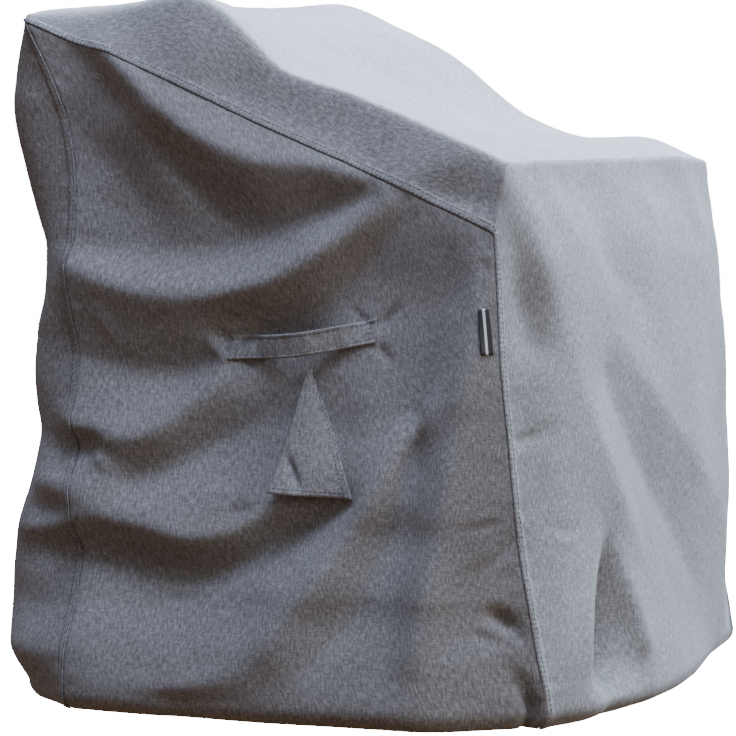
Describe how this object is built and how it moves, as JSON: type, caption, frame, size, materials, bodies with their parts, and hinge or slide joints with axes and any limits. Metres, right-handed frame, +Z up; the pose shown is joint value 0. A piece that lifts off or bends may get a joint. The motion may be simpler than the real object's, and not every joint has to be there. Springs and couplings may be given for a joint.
{
  "type": "stacking chair cover",
  "caption": "Loose woven cover for a stack of garden armchairs: high back, sloping top, low front, foot turned under, with a handle strap, vent flap and small label on one side.",
  "frame": {"origin": "middle of the cover's box in plan, on the ground under its foot", "axes": "+Z up; the low front faces -Y and the high back +Y; the side with the handle strap faces -X"},
  "size_m": [0.9204, 0.7748, 0.8535],
  "materials": {
    "cover_cloth": "heathered dark and light grey woven polyester, matt, coated inside",
    "label": "dark navy woven tape, slight sheen"
  },
  "bodies": {
    "root": {"centre_strip": "cover_cloth", "near_side_panel": "cover_cloth", "far_side_panel": "cover_cloth", "handle_strap": "cover_cloth", "vent_flap": "cover_cloth", "label_tag": "label"}
  },
  "joints": []
}
